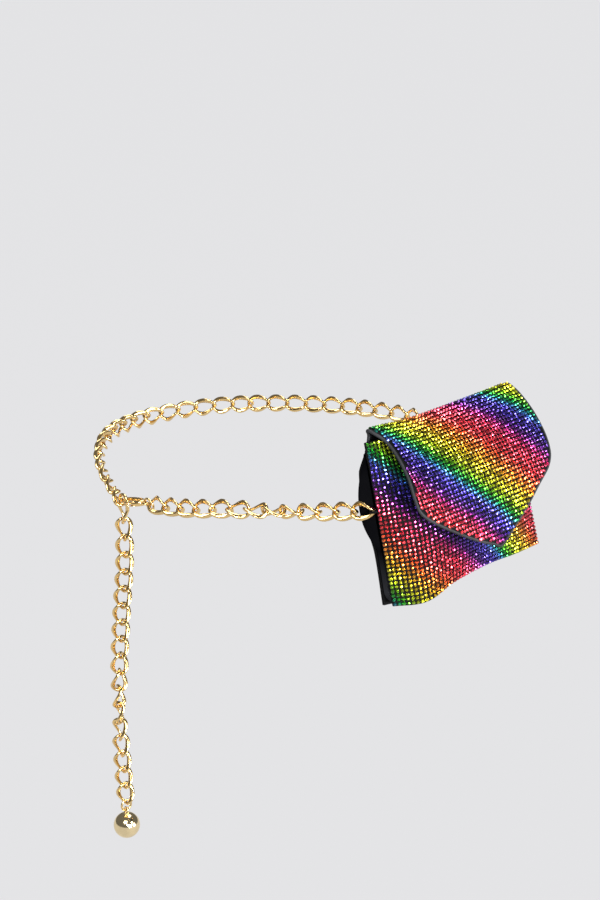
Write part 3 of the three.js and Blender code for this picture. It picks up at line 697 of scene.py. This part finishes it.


# Painted shade: a darker copy of the black leather, as if the gusset lay in shadow.
gusset_leather_painted_shade_and_light = black_leather(
    "gusset_leather_painted_shade_and_light", dark=(2, 2, 4), light=(6, 6, 8), roughness=0.65, shine=0.02
)
paint_light_on_lower_part(gusset_leather_painted_shade_and_light)
gusset = set_piece(
    "gusset_strip",
    leather_grid("gusset_strip", gusset_face, *GUSSET_GRID, outward=False),
    gusset_leather_painted_shade_and_light,
)
give_wall(gusset, GUSSET_WALL, GUSSET_ROUNDING)
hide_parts("gusset")

# Side loops: a narrow black strap at each end of the bag, doubled round the last link of the chain.
# Its two ends are sewn together into the seam beside the gusset's fold.
LOOP_ROUND = 1.9
LOOP_STRAP = 0.45
LOOP_WIDEN = 1.7
LOOP_PULL = 1.2
LOOP_TURN = (55, 305)
LOOP_STEPS = 26
LOOP_SEWN_GAP = 0.3
LOOP_ENDS = (
    # end of the bag, way from the ring's middle to the seam, and how far the seam is
    ("left", (0.765, 0.644), 4.6),
    ("right", (-0.497, -0.867), 3.9),
)

for end, way, seam in LOOP_ENDS:
    loop_low, loop_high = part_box(f"side_tab_{end}")
    inward = np.array((*way, 0))
    beside = np.array((-way[1], way[0], 0))
    turn = np.radians(np.linspace(*LOOP_TURN, LOOP_STEPS))[:, None]
    bight = -LOOP_PULL * inward + LOOP_ROUND * (np.cos(turn) * inward + np.sin(turn) * beside)
    sewn = [seam * inward + gap * beside for gap in (LOOP_SEWN_GAP, -LOOP_SEWN_GAP)]
    strap = tube("strap", np.concatenate([sewn[:1], bight, sewn[1:]]), LOOP_STRAP)
    strap.transform(Matrix.Diagonal((1, 1, LOOP_WIDEN, 1)))
    strap.transform(Matrix.Translation((loop_low + loop_high) / 2) @ bag_to_frame.to_3x3().to_4x4())
    loop = set_piece(f"side_loop_{end}", strap, outer_leather)
    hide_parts(f"side_tab_{end}")

# Chain: curb links of round steel wire, plated pale gold, each twisted so that it lies flat on the next.
# One length runs from the bag to the clasp.
# The other runs from the bag's far side round the back to the clasp, and hangs on as the tail.
WIRE = 0.9
WIRE_SIDES = 10
LINK_HALF_LENGTH = 6.1
LINK_HALF_WIDTH = 3.9
LINK_TWIST = math.radians(50)
LINK_FULLNESS = 0.78
LINK_STEPS = 44
LINK_BLANK = 10
SIDE_SWELL = 0.5
BACK_LINKS = 6
BACK_BEND = 4
BACK_STEPS = 400
GOLD_MARK_SCALE = 700
GOLD_MARK_DETAIL = 3
GOLD_MARK_DEPTH = 0.1
GOLD_MARK_STRENGTH = 0.06
GOLD_DRIFT_SCALE = 160
GOLD_DRIFT_ENDS = (0.35, 0.65)
GOLD_GLOSS_SPREAD = (-0.04, 0.1)
GOLD_DULL = 0.93


def drawn_out(wave, power=LINK_FULLNESS):
    """Wave drawn out to flatter tops, for an oval with straighter sides."""
    return np.sign(wave) * np.abs(wave) ** power


def bent_link(half_length, start_twist=-LINK_TWIST, flat=0.0):
    """Corners and faces of one link: a wire ring drawn to an oval and twisted about its length."""
    link = bmesh.new()
    bmesh.ops.create_circle(link, segments=WIRE_SIDES, radius=WIRE)
    bmesh.ops.rotate(link, verts=link.verts, matrix=Matrix.Rotation(math.pi / 2, 3, "X"))
    bmesh.ops.translate(link, verts=link.verts, vec=(LINK_BLANK, 0, 0))
    bmesh.ops.spin(
        link,
        geom=link.edges,
        cent=(0, 0, 0),
        axis=(0, 0, 1),
        angle=2 * math.pi,
        steps=LINK_STEPS,
        use_merge=True,
    )
    bmesh.ops.recalc_face_normals(link, faces=link.faces)
    corners, faces = corners_and_faces(link)
    turn = np.arctan2(corners[:, 1], corners[:, 0])
    outward = np.hypot(corners[:, 0], corners[:, 1]) - LINK_BLANK
    outward *= 1 + SIDE_SWELL * np.sin(turn) ** 2
    ends, sides = (drawn_out(wave, 2 - LINK_FULLNESS) for wave in (np.cos(turn), np.sin(turn)))
    square = unit(np.stack([ends / half_length, sides / LINK_HALF_WIDTH], 1))
    x = half_length * drawn_out(np.cos(turn)) + square[:, 0] * outward
    y = LINK_HALF_WIDTH * drawn_out(np.sin(turn)) + square[:, 1] * outward
    share = np.clip(x / half_length, -1, 1) / 2 + 0.5
    twist = start_twist + (LINK_TWIST - start_twist) * np.maximum(share - flat, 0) / (1 - flat)
    z = corners[:, 2]
    bent = [x, y * np.cos(twist) - z * np.sin(twist), y * np.sin(twist) + z * np.cos(twist)]
    return np.stack(bent, 1), faces


def node_points(name):
    """A solid's corners, each once, in millimetres."""
    corners = np.array([v.co for v in frame["nodes"][name].data.vertices])
    return np.unique(np.round(corners / MILLIMETRE, 4), axis=0)


def lie_of(name):
    """Middle of a link's solid, and the directions along it and across it."""
    corners = node_points(name)
    middle = corners.mean(0)
    spread = np.linalg.eigh(np.cov((corners - middle).T))[1]
    return middle, spread[:, 2], spread[:, 1]


def stretch_lies(name, count):
    """Lies of the links in a joined stretch, spaced along the smooth middle line of its solid."""
    corners = node_points(name)
    middle, chord, _ = lie_of(name)
    place = (corners - middle) @ chord
    bend = [np.polyfit(place, corners[:, k], BACK_BEND) for k in range(3)]
    fine_place = np.linspace(place.min(), place.max(), BACK_STEPS)
    line = np.stack([np.polyval(curve, fine_place) for curve in bend], 1)
    run = run_along(line)
    reach = LINK_HALF_LENGTH + WIRE
    lies = []
    for distance in np.linspace(reach, run[-1] - reach, count):
        centre, ahead = (
            np.array([np.interp(distance + step, run, line[:, k]) for k in range(3)]) for step in (0, 1)
        )
        along = (ahead - centre) / np.linalg.norm(ahead - centre)
        across = np.cross((centre[0], centre[1], 0), along)
        lies.append((centre, along, across / np.linalg.norm(across)))
    return lies


def link_mesh(name, lies, shape):
    """One mesh of a link's shape at each lie."""
    corners, faces = shape
    laid = [
        middle + corners @ np.stack([along, across, np.cross(along, across)])
        for middle, along, across in lies
    ]
    mesh = repeated_mesh(name, np.array(laid) * MILLIMETRE, faces)
    shade_smooth(mesh)
    return mesh


def gold_plate(name, colour, roughness):
    """Polished plating: fine rubbing marks and a slight drift of gloss."""
    material, nodes, links, surface = shader_tree(name)
    place = nodes.new("ShaderNodeTexCoord")
    rubbed = nodes.new("ShaderNodeTexNoise")
    rubbed.inputs["Scale"].default_value = GOLD_MARK_SCALE
    rubbed.inputs["Detail"].default_value = GOLD_MARK_DETAIL
    drift = nodes.new("ShaderNodeTexNoise")
    drift.inputs["Scale"].default_value = GOLD_DRIFT_SCALE
    gloss = nodes.new("ShaderNodeMapRange")
    gloss.inputs["To Min"].default_value = roughness + GOLD_GLOSS_SPREAD[0]
    gloss.inputs["To Max"].default_value = roughness + GOLD_GLOSS_SPREAD[1]
    tone = nodes.new("ShaderNodeValToRGB")
    dull = [GOLD_DULL * step for step in colour]
    for stop, share, gold_tone in zip(tone.color_ramp.elements, GOLD_DRIFT_ENDS, (dull, colour)):
        stop.position = share
        stop.color = tint(*gold_tone)
    marks = nodes.new("ShaderNodeBump")
    marks.inputs["Strength"].default_value = GOLD_MARK_STRENGTH
    marks.inputs["Distance"].default_value = GOLD_MARK_DEPTH * MILLIMETRE
    links.new(place.outputs["Object"], rubbed.inputs["Vector"])
    links.new(place.outputs["Object"], drift.inputs["Vector"])
    links.new(drift.outputs["Fac"], gloss.inputs["Value"])
    links.new(drift.outputs["Fac"], tone.inputs["Fac"])
    links.new(rubbed.outputs["Fac"], marks.inputs["Height"])
    links.new(tone.outputs["Color"], surface.inputs["Base Color"])
    links.new(gloss.outputs["Result"], surface.inputs["Roughness"])
    links.new(marks.outputs["Normal"], surface.inputs["Normal"])
    surface.inputs["Metallic"].default_value = 1
    return material


gold = gold_plate("pale_gold", colour=(238, 204, 140), roughness=0.12)
plain_link = bent_link(LINK_HALF_LENGTH)
solid_names = sorted(frame["nodes"])
for length, first in (("front", 0), ("side", 0), ("tail", 1)):
    members = [name for name in solid_names if name.startswith(f"{length}_link_")][first:]
    chain = set_piece(
        f"{length}_chain",
        link_mesh(f"{length}_chain", [lie_of(name) for name in members], plain_link),
        gold,
    )
    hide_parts(*members)

stretches = [name for name in solid_names if name.startswith("back_chain_")]
hidden_lies = [lie for name in stretches for lie in stretch_lies(name, BACK_LINKS)]
hidden_chain = set_piece(
    "hidden_chain", link_mesh("hidden_chain", hidden_lies, plain_link), gold
)
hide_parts(*stretches)

# Hooked link: one longer link of the same wire, left flat in its upper half and twisted below.
# The clasp is hooked through it, and the tail hangs from its lower end.
HOOKED_HALF_LENGTH = 7.8
HOOKED_FLAT = 0.5
CLASP_HEADING = (0.0458, 0.99895)

clasp_side = np.array((-CLASP_HEADING[1], CLASP_HEADING[0], 0))
downward = np.array((0, 0, -1.0))
hooked_low, hooked_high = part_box("tail_link_01")
hooked_middle = node_points("tail_link_01").mean(0)
hooked_middle[2] = (hooked_low.z + hooked_high.z) / 2 / MILLIMETRE
hooked_link = set_piece(
    "hooked_link",
    link_mesh(
        "hooked_link",
        [(hooked_middle, downward, np.cross(clasp_side, downward))],
        bent_link(HOOKED_HALF_LENGTH, start_twist=0.0, flat=HOOKED_FLAT),
    ),
    gold,
)
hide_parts("tail_link_01")

# Clasp hook: the cast body of a small lobster clasp, plated like the chain.
# It has an eye at one end, a band that thins round to the mouth, and two cheeks that hold the lever.
CLASP_MIDDLE = 12.4
CLASP_HALF_LENGTH = 9.5
CLASP_HALF_WIDTH = 4.2
CLASP_BAND = 1.1
CLASP_FLATTEN = 1.18
CLASP_MOUTH_START = 125
CLASP_MOUTH_END = 40
HOOK_STEPS = 90
HOOK_SWELL = (
    # share of the way round the hook, and the band's thickness there against the usual
    (0, 1.25), (0.2, 1.2), (0.6, 1.0), (0.93, 0.9), (1, 0.55),
)
CLASP_EYE = 1.85
CLASP_EYE_WIRE = 0.62
KNUCKLE = 1.9
KNUCKLE_THICK = 2.6
KNUCKLE_ROUNDING = 0.12
SLOT_THICK = 1.8
DISC_SIDES = 32
RIM_ANGLE = 1


def joint_place(name):
    """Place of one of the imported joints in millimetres, and its axis."""
    joint = next(joint for joint in frame["joints"] if joint["name"] == name)
    return np.array(joint["pos_m"]) / MILLIMETRE, np.array(joint["axis"])


def clasp_oval(degrees, out=0.0):
    """Points of the clasp's oval at some angles, or a little outside it, in its own axes."""
    turn = np.radians(degrees)
    along = CLASP_MIDDLE + (CLASP_HALF_LENGTH + out) * np.cos(turn)
    return np.stack([along, (CLASP_HALF_WIDTH + out) * np.sin(turn), 0 * turn], -1)


def ring_points(middle, radius, first, second, steps=40):
    """Points round a ring in the plane of two directions."""
    turn = np.linspace(0, 2 * math.pi, steps, endpoint=False)[:, None]
    return np.asarray(middle) + radius * (np.cos(turn) * first + np.sin(turn) * second)


def join_meshes(name, meshes, matrix):
    """One mesh from several, moved by a matrix."""
    joined = bmesh.new()
    for mesh in meshes:
        joined.from_mesh(mesh)
        bpy.data.meshes.remove(mesh)
    joined.transform(matrix)
    return finished_mesh(name, joined)


def disc_mesh(name, middle, radius, thick, rounding):
    """Round disc with softened rims."""
    disc = bmesh.new()
    bmesh.ops.create_cone(
        disc, cap_ends=True, segments=DISC_SIDES, radius1=radius, radius2=radius, depth=thick
    )
    bmesh.ops.bevel(
        disc,
        geom=[edge for edge in disc.edges if edge.calc_face_angle() > RIM_ANGLE],
        offset=rounding,
        segments=ROUNDING_STEPS,
        profile=0.5,
        affect="EDGES",
        material=-1,
    )
    bmesh.ops.translate(disc, verts=disc.verts, vec=middle)
    mesh = finished_mesh(name, disc)
    shade_smooth(mesh)
    return mesh


lever_pivot, lever_axis = joint_place("clasp_lever_hinge")
clasp_up = -lever_axis
clasp_axes = np.stack([np.cross(clasp_side, clasp_up), clasp_side, clasp_up])
pivot_place = clasp_oval(CLASP_MOUTH_START)
clasp_eye = lever_pivot - pivot_place @ clasp_axes
clasp_to_frame = (
    Matrix.Scale(MILLIMETRE, 4) @ Matrix.Translation(clasp_eye) @ Matrix(clasp_axes.T).to_4x4()
)
x_way, y_way, z_way = np.eye(3)
hook = tube(
    "hook",
    clasp_oval(np.linspace(CLASP_MOUTH_START, 360 + CLASP_MOUTH_END, HOOK_STEPS)),
    CLASP_BAND,
    radii=np.interp(np.linspace(0, 1, HOOK_STEPS), *np.transpose(HOOK_SWELL)),
)
hook.transform(Matrix.Diagonal((1, 1, CLASP_FLATTEN, 1)))
eye = tube("eye", ring_points((0, 0, 0), CLASP_EYE, x_way, y_way), CLASP_EYE_WIRE, closed=True)
cheek_gap = (KNUCKLE_THICK + SLOT_THICK) / 4
cheek_thick = (KNUCKLE_THICK - SLOT_THICK) / 2
cheeks = [
    disc_mesh("cheek", pivot_place + side * cheek_gap * z_way, KNUCKLE, cheek_thick, KNUCKLE_ROUNDING)
    for side in (-1, 1)
]
clasp_body = set_piece(
    "clasp_hook", join_meshes("clasp_hook", [hook, eye, *cheeks], clasp_to_frame), gold
)
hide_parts("clasp_body")

# Clasp lever: the thin sprung bar that closes the hook's mouth, with a small knob for the thumb.
# Its knuckle turns on a pin in the slot between the hook's two cheeks.
LEVER_END = 58
LEVER_BAND = 0.7
LEVER_FLATTEN = 0.8
LEVER_STEPS = 30
LEVER_KNUCKLE = 1.25
LEVER_KNUCKLE_THICK = 1.1
LEVER_KNUCKLE_ROUNDING = 0.15
LEVER_KNOB = 0.95
LEVER_KNOB_THICK = 1.15
LEVER_KNOB_ROUNDING = 0.25
LEVER_KNOB_ANGLE = 108
LEVER_KNOB_OUT = 1.1

lever_line = clasp_oval(np.linspace(CLASP_MOUTH_START, LEVER_END, LEVER_STEPS))
lever_bar = tube("lever_bar", lever_line, LEVER_BAND)
lever_bar.transform(Matrix.Diagonal((1, 1, LEVER_FLATTEN, 1)))
knuckle = disc_mesh(
    "lever_knuckle", pivot_place, LEVER_KNUCKLE, LEVER_KNUCKLE_THICK, LEVER_KNUCKLE_ROUNDING
)
knob_place = clasp_oval(LEVER_KNOB_ANGLE, LEVER_KNOB_OUT)
knob = disc_mesh("lever_knob", knob_place, LEVER_KNOB, LEVER_KNOB_THICK, LEVER_KNOB_ROUNDING)
clasp_lever = set_piece(
    "clasp_thumb_lever",
    join_meshes("clasp_thumb_lever", [lever_bar, knuckle, knob], clasp_to_frame),
    gold,
    "clasp_lever",
)
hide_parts("clasp_lever")

# Clasp's jump ring: a ring of thin plated wire, bent round until its ends meet.
# It joins the clasp's eye to the last link of the front chain.
JUMP_RING = 3.3
JUMP_WIRE = 0.6
JUMP_LEAN = math.radians(-20)
JUMP_BACK = 3.7

jump_rise = math.cos(JUMP_LEAN) * z_way - math.sin(JUMP_LEAN) * y_way
jump = tube("jump", ring_points(-JUMP_BACK * x_way, JUMP_RING, x_way, jump_rise), JUMP_WIRE, closed=True)
jump_ring = set_piece(
    "clasp_jump_ring", join_meshes("clasp_jump_ring", [jump], clasp_to_frame), gold
)
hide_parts("clasp_ring")

# Drop ring: a small jump ring of the same thin wire, through the last link of the tail.
# The ball hangs on it, and both swing freely about the wire of that link.
DROP_RING = 3.1
DROP_WIRE = 0.6
PIECE_GAP = 0.3

to_metres = Matrix.Scale(MILLIMETRE, 4)
drop_top, drop_across = joint_place("ball_swing")
drop_through = np.cross((0, 0, 1), drop_across)
ring_down = DROP_RING - DROP_WIRE - WIRE - PIECE_GAP
drop_points = ring_points(drop_top - ring_down * z_way, DROP_RING, drop_through, z_way)
drop_ring = tube("drop_jump", drop_points, DROP_WIRE, closed=True)
ring_piece = set_piece(
    "drop_jump_ring",
    join_meshes("drop_jump_ring", [drop_ring], to_metres),
    gold,
    "ball_drop",
)
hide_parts("drop_ring")

# Ball: a hollow ball pressed from thin metal, plated a paler gold and polished.
# A small wire eye is soldered on at its top, in a low collar.
BALL_RADIUS = 7.5
BALL_SIDES = 64
BALL_RINGS = 40
EYE_RADIUS = 1.8
EYE_WIRE = 0.6
COLLAR_RADIUS = 1.7
COLLAR_THICK = 0.7
COLLAR_ROUNDING = 0.2
COLLAR_SINK = 0.05

eye_down = ring_down + DROP_RING + EYE_RADIUS - EYE_WIRE - DROP_WIRE - PIECE_GAP
ball_down = eye_down + EYE_RADIUS + BALL_RADIUS - EYE_WIRE / 2
ball_shape = bmesh.new()
bmesh.ops.create_uvsphere(ball_shape, u_segments=BALL_SIDES, v_segments=BALL_RINGS, radius=BALL_RADIUS)
bmesh.ops.translate(ball_shape, verts=ball_shape.verts, vec=drop_top - ball_down * z_way)
ball_mesh = finished_mesh("ball", ball_shape)
shade_smooth(ball_mesh)
eye_points = ring_points(drop_top - eye_down * z_way, EYE_RADIUS, drop_across, z_way)
ball_eye = tube("ball_eye", eye_points, EYE_WIRE, closed=True)
collar_place = drop_top - (ball_down - BALL_RADIUS + COLLAR_SINK) * z_way
collar = disc_mesh("ball_collar", collar_place, COLLAR_RADIUS, COLLAR_THICK, COLLAR_ROUNDING)
ball_gold = gold_plate("ball_gold", colour=(246, 224, 176), roughness=0.1)
ball = set_piece(
    "gold_ball",
    join_meshes("gold_ball", [ball_mesh, ball_eye, collar], to_metres),
    ball_gold,
    "ball_drop",
)
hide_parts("ball_drop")

# Studio: a plain pale floor below the hanging belt, which glows evenly and takes hardly any light.
# Broad soft lights stand round it, with two small ones for the stones' glints. Places are in metres.
# The camera stands at the photograph's angle.
FLOOR_DROP = 0.03
FLOOR_REACH = 14
FLOOR_TONE = (14, 14, 15)
FLOOR_GLOW = (246, 246, 248)
WHITE = (1, 1, 1, 1)
LIGHTS = (
    # name, place, aimed at, width, power
    ("key", (-1.5, -1.1, 1.7), (0, -0.05, 0), 1.1, 44),
    ("fill", (1.05, -1.75, 0.1), (0.02, -0.1, 0), 0.6, 34),
    ("front", (-0.35, -2.2, 0.2), (0, -0.12, 0), 0.75, 62),
    ("top", (0.6, 0.45, 1.7), (0, -0.05, 0), 1.2, 26),
    ("glint_left", (-1.0, -1.5, 0.5), (0.02, -0.12, 0.02), 0.28, 9),
    ("glint_right", (0.5, -1.7, 1.0), (0.02, -0.12, 0.02), 0.28, 8),
)
CAMERA_AIM = (0.016, 0.019, 0)
CAMERA_BACK = (-0.6149, -0.7276, 0.3040)
CAMERA_DISTANCE = 1.2
CAMERA_SENSOR = 36
CAMERA_LENS = 84.96
CAMERA_SHIFT = (0.0177, 0.0098)
CAMERA_FARTHEST = 100

floor_shape = bmesh.new()
bmesh.ops.create_grid(floor_shape, x_segments=2, y_segments=2, size=FLOOR_REACH)
bmesh.ops.translate(floor_shape, verts=floor_shape.verts, vec=(0, 0, solid_box[0][2] - FLOOR_DROP))
floor = bpy.data.objects.new("floor", finished_mesh("floor", floor_shape))
bpy.context.scene.collection.objects.link(floor)
floor_finish, _, _, floor_surface = shader_tree("pale_floor")
floor_surface.inputs["Base Color"].default_value = tint(*FLOOR_TONE)
floor_surface.inputs["Roughness"].default_value = 0.9
floor_surface.inputs["Specular IOR Level"].default_value = 0
floor_surface.inputs["Emission Color"].default_value = tint(*FLOOR_GLOW)
floor_surface.inputs["Emission Strength"].default_value = 0.835
floor.data.materials.append(floor_finish)

sky = bpy.data.worlds.new("studio")
sky.use_nodes = True
sky.node_tree.nodes["Background"].inputs["Color"].default_value = WHITE
sky.node_tree.nodes["Background"].inputs["Strength"].default_value = 0.17
bpy.context.scene.world = sky
bpy.context.scene.view_settings.view_transform = "Standard"

for name, place, aim, width, power in LIGHTS:
    lamp = bpy.data.lights.new(name, "AREA")
    lamp.size = width
    lamp.energy = power
    stand = bpy.data.objects.new(name, lamp)
    stand.location = place
    stand.visible_camera = False
    stand.rotation_euler = (Vector(place) - Vector(aim)).to_track_quat("Z", "Y").to_euler()
    bpy.context.scene.collection.objects.link(stand)

view = bpy.data.cameras.new("camera")
view.sensor_fit = "VERTICAL"
view.sensor_height = CAMERA_SENSOR
view.lens = CAMERA_LENS
view.shift_x, view.shift_y = CAMERA_SHIFT
view.clip_end = CAMERA_FARTHEST
camera = bpy.data.objects.new("camera", view)
camera.location = Vector(CAMERA_AIM) + CAMERA_DISTANCE * Vector(CAMERA_BACK)
camera.rotation_euler = Vector(CAMERA_BACK).to_track_quat("Z", "Y").to_euler()
bpy.context.scene.collection.objects.link(camera)
bpy.context.scene.camera = camera
